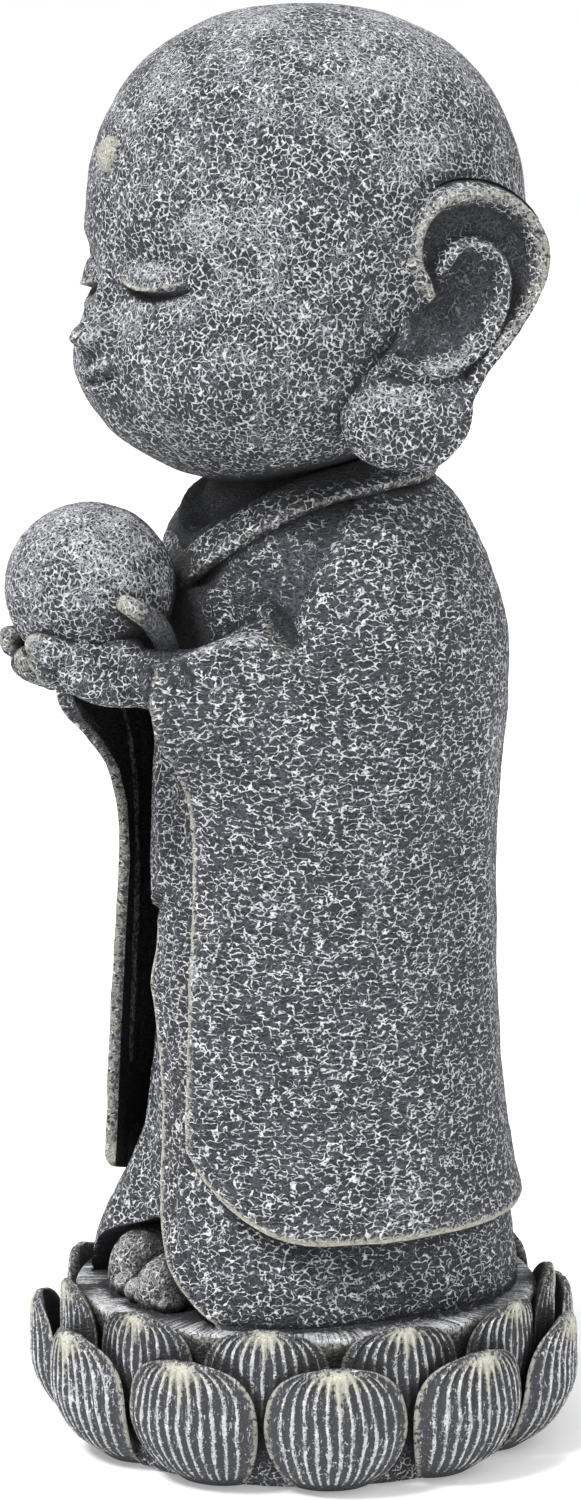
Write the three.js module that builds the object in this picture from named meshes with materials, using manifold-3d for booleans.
// Garden statue of a jizo as a small monk, cast in one piece with its lotus base.
// It holds a ball in both hands. Millimetres, +Z up, origin under the middle of the base,
// and the figure looks along -Y with its left side at +X.
import * as THREE from "three";
import { mergeVertices } from "three/addons/utils/BufferGeometryUtils.js";
import Module from "manifold-3d";

const wasm = await Module();
wasm.setup();

// Driving dimensions
const figureHeight = 357; // from the top of the base to the crown of the head
const plinthHeight = 43; // top of the round platform that the feet stand on
const platformRadius = 65.5;
const footRadius = 63.5; // underside of the lotus base
const petalsPerRow = 11;
const outerPetalHeight = 38;
const outerPetalReach = 79; // radius of the widest point of the outer row
const innerPetalHeight = 46.5;
const innerPetalReach = 71;
const ballRadius = 23.5;
const sleeveWall = 3.6; // thickness of the hanging sleeves
const collarWidth = 11;
const collarThickness = 3;

// The figure's free forms are shares of its own height: a unit is a millimetre on a 357 mm figure.
const unit = figureHeight / 357;
const groundSink = 1; // how far the robe and the feet go into the platform
const degrees = Math.PI / 180;

// A smooth curve through a table of [place, value, value, ...] rows, sampled at one place.
function tableAt(table, place, column) {
  const last = table.length - 1;
  let i = 0;
  while (i < last - 1 && place > table[i + 1][0]) i++;
  const [a, b] = [table[i], table[i + 1]];
  const span = b[0] - a[0];
  const t = Math.min(1, Math.max(0, (place - a[0]) / span));
  const before = table[Math.max(0, i - 1)];
  const after = table[Math.min(last, i + 2)];
  const slopeA = ((b[column] - before[column]) / (b[0] - before[0])) * span;
  const slopeB = ((after[column] - a[column]) / (after[0] - a[0])) * span;
  const [t2, t3] = [t * t, t * t * t];
  return (
    (2 * t3 - 3 * t2 + 1) * a[column] +
    (t3 - 2 * t2 + t) * slopeA +
    (3 * t2 - 2 * t3) * b[column] +
    (t3 - t2) * slopeB
  );
}

const mix = (a, b, t) => a + (b - a) * t;
const smoothstep = (lo, hi, x) => {
  const t = Math.min(1, Math.max(0, (x - lo) / (hi - lo)));
  return t * t * (3 - 2 * t);
};
const bell = (x, middle, width) => Math.exp(-(((x - middle) / width) ** 2));

// A closed body through rings of points that all have the same count, capped by a fan at each end.
function loft(rings) {
  const count = rings[0].length;
  const positions = [];
  const index = [];
  rings.forEach((ring) => ring.forEach((p) => positions.push(p.x, p.y, p.z)));
  for (let r = 0; r + 1 < rings.length; r++)
    for (let i = 0; i < count; i++) {
      const j = (i + 1) % count;
      const [a, b, c, d] = [r * count + i, r * count + j, (r + 1) * count + i, (r + 1) * count + j];
      index.push(a, b, d, a, d, c);
    }
  [0, rings.length - 1].forEach((r) => {
    const middle = rings[r].reduce((sum, p) => sum.add(p), new THREE.Vector3()).divideScalar(count);
    const hub = positions.length / 3;
    positions.push(middle.x, middle.y, middle.z);
    for (let i = 0; i < count; i++) {
      const [a, b] = [r * count + i, r * count + ((i + 1) % count)];
      if (r === 0) index.push(hub, b, a);
      else index.push(hub, a, b);
    }
  });
  const geometry = new THREE.BufferGeometry();
  geometry.setAttribute("position", new THREE.Float32BufferAttribute(positions, 3));
  geometry.setIndex(index);
  return geometry;
}

// A tapering round limb along a smooth curve, with rounded ends.
function limb(points, radii, sides, steps) {
  const curve = new THREE.CatmullRomCurve3(points);
  const frames = curve.computeFrenetFrames(steps, false);
  const table = radii.map((radius, i) => [i / (radii.length - 1), radius]);
  const ringAt = (centre, normal, binormal, radius) =>
    Array.from({ length: sides }, (_, k) => {
      const angle = (k / sides) * 2 * Math.PI;
      return centre
        .clone()
        .addScaledVector(normal, Math.cos(angle) * radius)
        .addScaledVector(binormal, Math.sin(angle) * radius);
    });
  const rings = [];
  for (let s = 0; s <= steps; s++) {
    const centre = curve.getPointAt(s / steps);
    const radius = tableAt(table, s / steps, 1);
    const [n, b, t] = [frames.normals[s], frames.binormals[s], frames.tangents[s]];
    if (s === 0) rings.push(ringAt(centre.clone().addScaledVector(t, -0.6 * radius), n, b, 0.7 * radius));
    rings.push(ringAt(centre, n, b, radius));
    if (s === steps) rings.push(ringAt(centre.clone().addScaledVector(t, 0.6 * radius), n, b, 0.7 * radius));
  }
  return loft(rings);
}

function ellipsoid(centre, radii, around, down, turn = new THREE.Euler()) {
  const geometry = new THREE.SphereGeometry(1, around, down);
  geometry.scale(...radii);
  geometry.applyMatrix4(new THREE.Matrix4().makeRotationFromEuler(turn));
  geometry.translate(...centre);
  return geometry;
}

// Triangles are turned to face outwards where a form was drawn the other way round.
function solidOf(geometry) {
  const bare = new THREE.BufferGeometry();
  bare.setAttribute("position", geometry.getAttribute("position"));
  bare.setIndex(geometry.getIndex());
  const merged = mergeVertices(bare, 1e-4);
  const vertProperties = merged.attributes.position.array;
  const corner = (i) => new THREE.Vector3().fromArray(vertProperties, 3 * i);
  const faces = [];
  let volume = 0;
  for (let i = 0; i < merged.index.count; i += 3) {
    const [a, b, c] = [0, 1, 2].map((k) => merged.index.getX(i + k));
    if (a === b || b === c || c === a) continue;
    faces.push([a, b, c]);
    volume += corner(a).cross(corner(b)).dot(corner(c));
  }
  const outward = faces.map(([a, b, c]) => (volume > 0 ? [a, b, c] : [a, c, b]));
  const triVerts = new Uint32Array(outward.flat());
  return new wasm.Manifold(new wasm.Mesh({ numProp: 3, vertProperties, triVerts }));
}

const join = (geometries) => geometries.map(solidOf).reduce((sum, solid) => sum.add(solid));

// The other half of a form: the same points seen in a mirror at X = 0
function mirrored(geometry) {
  const copy = geometry.clone();
  copy.scale(-1, 1, 1);
  return copy;
}

const bothSides = (geometries) => geometries.flatMap((geometry) => [geometry, mirrored(geometry)]);

// A point on the figure: the angle runs from the front (-Y) towards its left side (+X).
function around(angle, radius, height) {
  return new THREE.Vector3(
    radius * unit * Math.sin(angle * degrees),
    -radius * unit * Math.cos(angle * degrees),
    plinthHeight + height * unit,
  );
}
const place = (x, y, height) => new THREE.Vector3(x * unit, y * unit, plinthHeight + height * unit);

// Lotus base: a platform on a bowl, with two rows of petals

const bowlProfile = [
  [0, 0],
  [footRadius - 4, 0],
  [footRadius, 4],
  [innerPetalReach - 6, 14],
  [platformRadius, plinthHeight - 11],
  [platformRadius, plinthHeight],
  [0, plinthHeight],
].map(([x, y]) => new THREE.Vector2(x, y));

function bowl() {
  const geometry = new THREE.LatheGeometry(bowlProfile, 33);
  geometry.rotateX(Math.PI / 2);
  return geometry;
}

// By share of a petal's height: its half width, how far its middle is tucked in, and its thickness
const petalShape = [
  [0, 0.6, 1, 14],
  [0.17, 0.86, 0.42, 12],
  [0.45, 1, 0.04, 9],
  [0.72, 0.95, 0, 6],
  [0.88, 0.76, 0.02, 4.5],
  [0.96, 0.5, 0.05, 3.5],
  [1, 0.25, 0.1, 2.5],
];

// Each ring of a petal is its bulging front and two points behind it, low down inside the bowl.
function petal(angle, row) {
  const widest = (Math.PI * row.reach * row.spread) / petalsPerRow;
  const rings = row.levels.map((share) => {
    const [width, tuck, thickness] = [1, 2, 3].map((column) => tableAt(petalShape, share, column));
    const half = widest * width;
    const z = row.bottom + share * (row.top - row.bottom);
    const middle = row.reach - row.tuck * tuck;
    const front = Array.from({ length: row.columns }, (_, k) => {
      const across = (2 * k) / (row.columns - 1) - 1;
      const radius = middle - row.crown * width * Math.abs(across) ** 2.4;
      return [angle + (across * half) / row.reach, radius];
    });
    const back = [0.5, -0.5].map((across) => [angle + (across * half) / row.reach, middle - thickness]);
    return [...front, ...back].map(
      ([turn, radius]) => new THREE.Vector3(radius * Math.sin(turn), -radius * Math.cos(turn), z),
    );
  });
  return loft(rings);
}

const outerRow = {
  reach: outerPetalReach,
  bottom: 0,
  top: outerPetalHeight,
  levels: [0, 0.17, 0.45, 0.74, 0.92, 1],
  columns: 7,
  spread: 0.95,
  tuck: outerPetalReach - footRadius,
  crown: 6.5,
};
const innerRow = {
  reach: innerPetalReach,
  bottom: 16,
  top: innerPetalHeight,
  levels: [0.1, 0.5, 0.85, 1],
  columns: 5,
  spread: 0.92,
  tuck: 6,
  crown: 4,
};

function petals() {
  const step = (2 * Math.PI) / petalsPerRow;
  const first = 0.16 * step; // the rows stand a little off the figure's own middle
  return Array.from({ length: petalsPerRow }, (_, k) => [
    petal(first + k * step, outerRow),
    petal(first + (k + 0.5) * step, innerRow),
  ]).flat();
}

// Robe: the outer gown with its hanging sleeves, in rings around the figure's axis

// Height, then the radius at the sleeve's front edge, at the side and at the back
const gownBelow = [
  [24, 58, 60, 62.5],
  [35, 57.5, 58.5, 60],
  [47, 56.7, 57, 57.5],
  [67, 56, 56, 55.2],
  [97, 54.2, 55, 53.5],
  [127, 52.7, 55, 53.3],
  [144, 55.2, 56, 54],
  [154, 60.5, 57, 54.8],
  [163, 68, 57.6, 56],
  [177, 69, 58.4, 56.3],
  [188, 62, 58.4, 55.6],
  [196, 56, 57, 54],
];
// Height, then the half depth to the front, the half width and the half depth to the back
const gownAbove = [
  [170, 41.5, 58.4, 56.3],
  [185, 41, 58.2, 56],
  [193, 40, 57, 54.5],
  [200, 39, 54.5, 52.4],
  [207, 38, 51, 50],
  [214, 36.9, 46, 47.2],
  [221, 34.2, 39.5, 44],
  [226, 32, 33, 40],
  [230, 28.5, 28.5, 34],
  [233, 25, 25, 28],
];
const sleeveEdge = 28; // angle of the sleeves' front edges
const hemHeight = 24;
const hemRise = { left: 22.5, right: 9 }; // how much higher the hem is at the sleeves' front edges
const hemRoundTo = 70;

// Height of the top of the forearm, which the gown steps in above
const forearmTop = [
  [sleeveEdge, 187],
  [40, 191.5],
  [50, 192.5],
  [58, 188],
  [68, 184],
  [90, 182],
];

function gownLower(angle, height) {
  const [edge, side, back] = [1, 2, 3].map((column) => tableAt(gownBelow, height, column));
  if (angle > 90) return mix(side, back, (1 - Math.cos(2 * (angle - 90) * degrees)) / 2);
  const toEdge = Math.min(1, (90 - angle) / (90 - sleeveEdge));
  const dip = 3 * smoothstep(130, 160, height);
  return side + (edge - side) * toEdge ** 3 - dip * 4 * toEdge * (1 - toEdge);
}

// The line where the upper arm's cloth falls over the chest: an angle for each height
const armpitLow = 190;
const armpitHigh = 228;
function armpitAt(height) {
  const share = Math.min(1, Math.max(0, (height - armpitLow) / (armpitHigh - armpitLow)));
  return 60.5 + 27 * share ** 1.6;
}

// The neckline is open above the crossed collar bands, which climb towards the shoulders.
const bandFoot = 212;
const bandClimb = 0.29;
function neckOpening(angle, height) {
  const bandTop = bandFoot + bandClimb * angle;
  return smoothstep(bandTop, bandTop + 5, height) * (1 - smoothstep(50, 74, angle));
}

function gownUpper(angle, height) {
  const [front, side, back] = [1, 2, 3].map((column) => tableAt(gownAbove, height, column));
  const depth = angle < 90 ? front : back;
  const [s, c] = [Math.sin(angle * degrees), Math.cos(angle * degrees)];
  const torso = 1 / Math.hypot(s / side, c / depth);
  const armpit = armpitAt(height);
  const chest = 1 - smoothstep(armpit - 2, armpit + 6, angle);
  const hollow = mix(1, 3.2, smoothstep(armpit - 45, armpit - 8, angle)) * (1 - smoothstep(216, 227, height));
  const arm = 2.8 * bell(angle, armpit + 14, 15);
  const elbowValley = 2 * bell(height, 194, 4) * bell(angle, 75, 14);
  return torso + arm - chest * hollow - elbowValley - 5 * neckOpening(angle, height);
}

// The forearm's top is a clear step at the front and fades into the upper arm at the side.
function gownRadius(angle, height) {
  const step = angle < sleeveEdge - 1 ? 170 : tableAt(forearmTop, angle, 1);
  const fade = mix(4, 22, smoothstep(56, 90, angle));
  const above = smoothstep(step - fade, step + fade, height);
  return mix(gownLower(angle, height), gownUpper(angle, height), above);
}

function hemAt(angle, side) {
  const share = Math.min(1, Math.max(0, (hemRoundTo - angle) / (hemRoundTo - sleeveEdge)));
  return hemHeight + (side < 0 ? hemRise.right : hemRise.left) * share ** 2.2;
}

// A ring around the figure: each angle gives a radius and a height on the left and on the right side.
function ring(angles, at) {
  const left = angles.map((angle) => around(angle, ...at(angle, 1)));
  const both = angles.filter((angle) => angle > 0 && angle < 180);
  return [...left, ...both.reverse().map((angle) => around(-angle, ...at(angle, -1)))];
}

const gownAngles = [0, 26.5, sleeveEdge, 35, 44, 53, 62, 74, 90, 110, 130, 150, 166, 180];
const gownLevels = [24, 38, 67, 112, 146, 156, 165, 177, 184, 188, 192, 199, 209, 218, 226, 233];

function gown() {
  return loft(
    gownLevels.map((level) =>
      ring(gownAngles, (angle, side) => {
        const lift = (hemAt(angle, side) - hemHeight) * (1 - smoothstep(hemHeight, 97, level));
        const height = level + lift;
        return [gownRadius(angle, height), height];
      }),
    ),
  );
}

// What is cut from the gown: the opening between the sleeves and the hollow inside each of them
function sleeveHollow() {
  const outside = 110;
  const closed = 18;
  const columns = [0, sleeveEdge, sleeveEdge + 0.01, 35, 44, 53, 62, 74, 86, 100, 140, 180];
  const levels = [8, 24, 60, 112, 144, 156, 166];
  const top = levels[levels.length - 1];
  const handsAt = 189; // the opening between the sleeves ends under the hands
  const wall = sleeveWall / unit;
  return loft(
    levels.map((level) =>
      ring(columns, (angle) => {
        if (angle <= sleeveEdge) return [outside, level === top ? handsAt : level];
        const depth = 1 - smoothstep(84, 100, angle);
        const inner = gownRadius(angle, Math.max(level, hemHeight)) - wall - 3 * smoothstep(60, 84, angle);
        return [mix(closed, inner, depth), level];
      }),
    ),
  );
}

// Inner robe and body: front, corner at 39 degrees, side and back radius by height
const bodyTable = [
  [-groundSink, 48, 56.5, 53.5, 62],
  [8, 47.5, 55, 52.5, 61],
  [20, 46, 52.5, 51, 59],
  [30, 44.5, 49.5, 49, 56],
  [45, 43.3, 45.5, 44, 50],
  [67, 43.2, 42, 37, 48],
  [97, 43, 39, 33.5, 46],
  [116, 42.8, 38.5, 33, 46],
  [160, 42, 38, 33.5, 46],
  [185, 41.2, 39, 36, 46],
  [200, 39, 38, 38, 42],
  [206, 30, 30, 30, 30],
];
const bodyAngles = [-160, -135, -112, -90, -70, -54, -40, -26, -14, -5, -3];
const panelStep = 1.8; // how far the left front panel stands over the right one
const bodiceStep = 2.4; // how far the upper garment stands over the skirt

function bodyRadius(angle, height) {
  const turn = Math.abs(angle);
  const [front, corner, side, back] = [1, 2, 3, 4].map((column) => tableAt(bodyTable, height, column));
  const section = [
    [0, front],
    [39, corner],
    [90, side],
    [140, mix(side, back, 0.75)],
    [180, back],
  ];
  const layer = bodiceStep * smoothstep(114, 118, height + turn * 0.4) * (1 - smoothstep(60, 90, turn));
  const flare = 7 * bell(angle, -27, 22) * (1 - smoothstep(10, 50, height));
  const onTop = angle > -4 ? panelStep * (1 - smoothstep(25, 80, turn)) : 0;
  const overlap = onTop * (1 - smoothstep(100, 118, height));
  return tableAt(section, turn, 1) + layer + overlap + flare;
}

function body() {
  const angles = [...bodyAngles, ...bodyAngles.slice(0, -2).map((angle) => -angle).reverse(), 180];
  const levels = [-groundSink, 10, 24, 45, 80, 112, 117, 150, 185, 200, 206];
  return loft(levels.map((level) => angles.map((angle) => around(angle, bodyRadius(angle, level), level))));
}

// The hem lifts over the feet: the outline of the gap, cut back to a dark hollow
function footArch() {
  const outline = new THREE.Shape(
    [[-37, -6], [-31, 9], [-19, 16], [-5, 23.5], [3, 17], [10, 12.5], [24, 8], [33, 0], [33, -6]].map(
      ([x, y]) => new THREE.Vector2(x * unit, y * unit),
    ),
  );
  const geometry = new THREE.ExtrudeGeometry(outline, { depth: 60 * unit, bevelEnabled: false });
  geometry.rotateX(Math.PI / 2);
  geometry.translate(0, -33 * unit, plinthHeight);
  return geometry;
}

function foot(instep) {
  const toes = [
    ellipsoid(place(5, -53.6, 3.2), [4 * unit, 4.6 * unit, 3.6 * unit], 6, 4),
    ellipsoid(place(12, -51.6, 2.6), [5.4 * unit, 4.6 * unit, 3 * unit], 6, 3),
  ];
  return [ellipsoid(place(9.5, -40.5, 4), [8.8 * unit, 16 * unit, instep * unit], 8, 6), ...toes];
}
const leftInstep = 11;
const rightInstep = 14;
const feet = () => [...foot(leftInstep), ...foot(rightInstep).map(mirrored)];

// Collar: two flat bands that cross on the chest, the left one on top
const collarRoute = [
  [-26, -33, 180], [-16, -38, 189.5], [-4, -39.5, 199.5], [9, -36.5, 209], [21, -28, 218.5], [29, -15, 226.5],
  [31, 0, 230.5], [26, 16, 232.5], [12, 27, 233.5], [-3, 29.5, 233.5],
];

function collarBand(inset) {
  const curve = new THREE.CatmullRomCurve3(collarRoute.map(([x, y, z]) => place(x, y, z)));
  const axis = place(0, 0, 185);
  const steps = 13;
  const [halfWidth, halfThickness] = [collarWidth / 2, collarThickness / 2];
  const corners = [[-1, -1], [1, -1], [1, 0.5], [0, 1], [-1, 0.5]];
  const rings = Array.from({ length: steps + 1 }, (_, s) => {
    const centre = curve.getPointAt(s / steps);
    const along = curve.getTangentAt(s / steps);
    const outward = centre.clone().sub(axis);
    outward.addScaledVector(along, -outward.dot(along)).normalize();
    const across = new THREE.Vector3().crossVectors(along, outward);
    return corners.map(([w, h]) =>
      centre
        .clone()
        .addScaledVector(across, w * halfWidth)
        .addScaledVector(outward, h * halfThickness - inset),
    );
  });
  return loft(rings);
}

// Ball and hands
const ballCentre = place(0, -65, 200);
const fingerRadius = 5.2;

// A point near the ball: the angle runs from the figure's left towards its front.
function onBall(angle, rise, distance) {
  const [a, e] = [angle * degrees, rise * degrees];
  return new THREE.Vector3(Math.cos(e) * Math.cos(a), -Math.cos(e) * Math.sin(a), Math.sin(e))
    .multiplyScalar(distance)
    .add(ballCentre);
}

// Each finger runs from its knuckle to its tip along the ball: angle and rise of both
const fingers = [
  { knuckle: [-8, -39], tip: [64, -32], size: 1 },
  { knuckle: [-12, -55], tip: [74, -47], size: 1 },
  { knuckle: [-24, -70], tip: [78, -60], size: 0.95 },
  { knuckle: [-60, -80], tip: [80, -76], size: 0.85 },
];

function hand() {
  const grip = ballRadius + 0.45 * fingerRadius * unit;
  const made = fingers.map(({ knuckle, tip, size }) => {
    const [from, to] = [onBall(...knuckle, 1), onBall(...tip, 1)].map((p) => p.sub(ballCentre));
    const turn = new THREE.Quaternion().setFromUnitVectors(from, to);
    const points = [0, 0.35, 0.7, 1].map((share) => {
      const part = new THREE.Quaternion().slerp(turn, share);
      return from.clone().applyQuaternion(part).multiplyScalar(grip).add(ballCentre);
    });
    const radius = fingerRadius * unit * size;
    return limb(points, [radius, radius, 0.8 * radius], 6, 3);
  });
  const thumb = [
    onBall(-34, -44, ballRadius + 4 * unit),
    onBall(-24, -27, ballRadius + 7 * unit),
    onBall(-12, -13, ballRadius + 5.5 * unit),
    onBall(2, -4, ballRadius + 2 * unit),
  ];
  made.push(limb(thumb, [4.8 * unit, 3.9 * unit, 3.4 * unit, 2.7 * unit], 6, 3));
  const palm = onBall(-4, -58, ballRadius + 1.5 * unit);
  made.push(ellipsoid(palm, [15 * unit, 19 * unit, 9 * unit], 8, 6, new THREE.Euler(0, 0.55, 0.3)));
  made.push(limb([palm, place(28, -52, 177), place(32, -36, 177)], [9 * unit, 10 * unit, 10 * unit], 6, 2));
  return made;
}

// Head: the larger of a skull and a full-cheeked lower face, seen from a point inside both
const skull = { centre: [0, 0, 296], radii: [59, 61, 61], fullness: 2.3 };
const jowl = { centre: [0, -17, 260], radii: [51, 45, 33], fullness: 2 };
const headCore = [0, -6, 279];

// Over 1 outside a form and under 1 inside it
function fill({ centre, radii, fullness }, point) {
  const [x, y, z] = point.map((value, i) => Math.abs(value - centre[i]) / radii[i]);
  return Math.hypot(x, y) ** fullness + z ** fullness;
}

// Distance from the head's core to a form's surface along a direction
function reach(shape, direction) {
  let [near, far] = [0, 120];
  for (let halving = 0; halving < 24; halving++) {
    const middle = (near + far) / 2;
    const inside = fill(shape, headCore.map((value, i) => value + direction[i] * middle)) < 1;
    [near, far] = inside ? [middle, far] : [near, middle];
  }
  return near;
}

// The soft forms of the face, by place across and up: hollow at the eyes, full cheeks, small chin
const eyeLine = 283;
const noseTip = 268;
const mouthLine = 256;
const eyeAside = 21; // from the middle of the face to the middle of an eye

function faceRelief(x, z) {
  const side = Math.abs(x);
  const socket = -2.2 * bell(side, 18, 14) * bell(z, eyeLine + 2, 9);
  const muzzle = 2.4 * bell(x, 0, 11) * bell(z, mouthLine, 10);
  const chin = 2.6 * bell(x, 0, 9) * bell(z, 242, 6);
  const cheek = 2.6 * bell(side, 28, 13) * bell(z, 261, 15);
  return socket + muzzle + chin + cheek;
}

const blend = 4; // how softly the skull runs into the cheeks
const softer = (a, b) => blend * Math.log(Math.exp(a / blend) + Math.exp(b / blend));

function headPoint(direction) {
  const distance = softer(reach(skull, direction), reach(jowl, direction));
  const [x, y, z] = [0, 1, 2].map((i) => headCore[i] + direction[i] * distance);
  const front = smoothstep(-0.15, 0.55, -direction[1]);
  return place(x, y - front * faceRelief(x, z), z);
}

// A point of the face by its place across and up, standing out by a little
function onFace(x, z, out) {
  const [big, low] = [skull, jowl].map(({ centre, radii, fullness }) => {
    const level = 1 - (Math.abs(z - centre[2]) / radii[2]) ** fullness;
    const left = Math.max(0, level) ** (2 / fullness) - ((x - centre[0]) / radii[0]) ** 2;
    return left > 0 ? radii[1] * Math.sqrt(left) - centre[1] : 0;
  });
  return place(x, -softer(big, low) - faceRelief(x, z) - out, z);
}

const along = (points, radii, sides = 5, steps = 4) =>
  limb(
    points.map(([x, z, out]) => onFace(x, z, out)),
    radii.map((radius) => radius * unit),
    sides,
    steps,
  );

const lip = (half, ends, middle, radius) =>
  along([[-half, ends, -0.5], [0, middle, -0.2], [half, ends, -0.5]], [0.8, radius, 0.8]);

// Closed eyes, a small nose and a small mouth
function features() {
  const lid = onFace(eyeAside, eyeLine, -1.2);
  const wing = onFace(5.2, noseTip - 1, 1);
  const leftHalf = [
    ellipsoid(lid, [10.4 * unit, 3.8 * unit, 4.8 * unit], 10, 5, new THREE.Euler(0, 0, 0.36)),
    along(
      [
        [eyeAside - 10, eyeLine - 1, -0.3],
        [eyeAside, eyeLine - 4.2, 0.3],
        [eyeAside + 10, eyeLine - 0.5, -0.6],
      ],
      [0.7, 1.2, 0.6],
    ),
    ellipsoid(wing, [3 * unit, 3.4 * unit, 2.9 * unit], 7, 5),
  ];
  return [
    ...bothSides(leftHalf),
    along([[0, eyeLine + 1, -1], [0, eyeLine - 7, 0.8], [0, noseTip, 3.2]], [2, 2.8, 4.6], 6, 3),
    lip(9.5, mouthLine + 1, mouthLine + 1.8, 1.9),
    lip(7, mouthLine - 1.2, mouthLine - 2.4, 2.1),
  ];
}

// Columns and rows are closer together on the face than on the back of the head.
function head() {
  const [columns, rows] = [32, 23];
  const rings = [];
  for (let r = 1; r < rows; r++) {
    const share = r / rows;
    const rise = -90 + 180 * (share + 0.055 * Math.sin(2 * Math.PI * share) * 0.9);
    rings.push(
      Array.from({ length: columns }, (_, k) => {
        const even = ((k + 0.5) / columns) * 2 * Math.PI - Math.PI;
        const turn = even - 0.45 * Math.sin(even);
        const level = Math.cos(rise * degrees);
        return headPoint([level * Math.sin(turn), -level * Math.cos(turn), Math.sin(rise * degrees)]);
      }),
    );
  }
  return loft(rings);
}

// Ears: a dished shell inside a closed outline, with a rolled rim, an inner ridge and a long thick lobe
const earOutline = [
  [-1, 291], [4, 303], [14, 310], [26, 309], [36, 301], [39, 289], [33, 274], [25, 264],
  [18, 252], [16, 242], [10, 234.5], [1, 233], [-10, 237], [-14.5, 247], [-9, 258], [-1, 268], [0, 279],
];
const earHollow = [13, 276];
const earTilt = 0.26; // how much the ear stands off towards the back

// How far the front of the ear stands out at a share of the way from its hollow to its outline
function earHeight(share, y, z) {
  const lobe = 1 - smoothstep(250, 262, z);
  const rim = 4.4 * bell(share, 0.86, 0.13);
  const groove = -1.2 * bell(share, 0.7, 0.09);
  const ridge = 3.2 * bell(share, 0.54, 0.09) * smoothstep(6, 16, y + (z - 276) * 0.3);
  const bowl = -4.5 * (1 - smoothstep(0.1, 0.5, share));
  return mix(rim + groove + ridge + bowl, 5.5 * (1 - share ** 3), lobe);
}

function ear() {
  const curve = new THREE.CatmullRomCurve3(
    earOutline.map(([y, z]) => new THREE.Vector3(0, y, z)),
    true,
  );
  const count = 21;
  const outline = Array.from({ length: count }, (_, k) => curve.getPointAt(k / count));
  const sheet = (share, lift, shrink) =>
    outline.map((p) => {
      const y = mix(earHollow[0], p.y, share * shrink);
      const z = mix(earHollow[1], p.z, share * shrink);
      const lean = 57.5 + earTilt * (y + 2) + 0.03 * Math.max(0, 262 - z);
      return place(lean + lift(share, y, z), y, z);
    });
  const frontShares = [0.15, 0.4, 0.56, 0.7, 0.86];
  const front = frontShares.map((share) => sheet(share, earHeight, 1));
  const edge = sheet(1, () => -1, 1);
  const back = [0.9, 0.5].map((share) => sheet(share, (s, y, z) => (z < 255 ? -8 : -5), 1));
  return loft([...front, edge, ...back].reverse());
}

// The raised round mark on the forehead
function urna() {
  return ellipsoid(place(0, -57.6, 316), [5.4 * unit, 4 * unit, 5.6 * unit], 8, 4);
}

function neck() {
  const profile = [[0, 200], [24, 200], [23, 245], [0, 245]].map(
    ([x, y]) => new THREE.Vector2(x * unit, plinthHeight + y * unit),
  );
  const geometry = new THREE.LatheGeometry(profile, 16);
  geometry.rotateX(Math.PI / 2);
  return geometry;
}

const ball = ellipsoid(ballCentre, [ballRadius, ballRadius, ballRadius], 18, 11);

const hollowGown = solidOf(gown()).subtract(solidOf(sleeveHollow()));
const robe = hollowGown.add(solidOf(body())).subtract(solidOf(footArch()));
const figure = robe
  .add(join([...feet(), ...bothSides([...hand(), ear()])]))
  .add(join([collarBand(0), mirrored(collarBand(1.2 * unit)), neck(), head(), ...features(), urna(), ball]));
const statue = join([bowl(), ...petals()]).add(figure);

// The cut solid as a three.js mesh

const castStone = new THREE.MeshStandardMaterial({ color: 0x75777d, roughness: 0.92, metalness: 0 });

function meshOf(name, solid, material) {
  const { numProp, numVert, vertProperties, triVerts } = solid.getMesh();
  const positions = new Float32Array(numVert * 3);
  for (let i = 0; i < numVert; i++) {
    const from = i * numProp;
    positions.set(vertProperties.subarray(from, from + 3), i * 3);
  }
  const geometry = new THREE.BufferGeometry();
  geometry.setAttribute("position", new THREE.BufferAttribute(positions, 3));
  geometry.setIndex(new THREE.BufferAttribute(triVerts, 1));
  geometry.computeVertexNormals();
  const mesh = new THREE.Mesh(geometry, material);
  mesh.name = name;
  return mesh;
}

const group = new THREE.Group();
group.add(meshOf("jizo_statue", statue, castStone));

export default group;
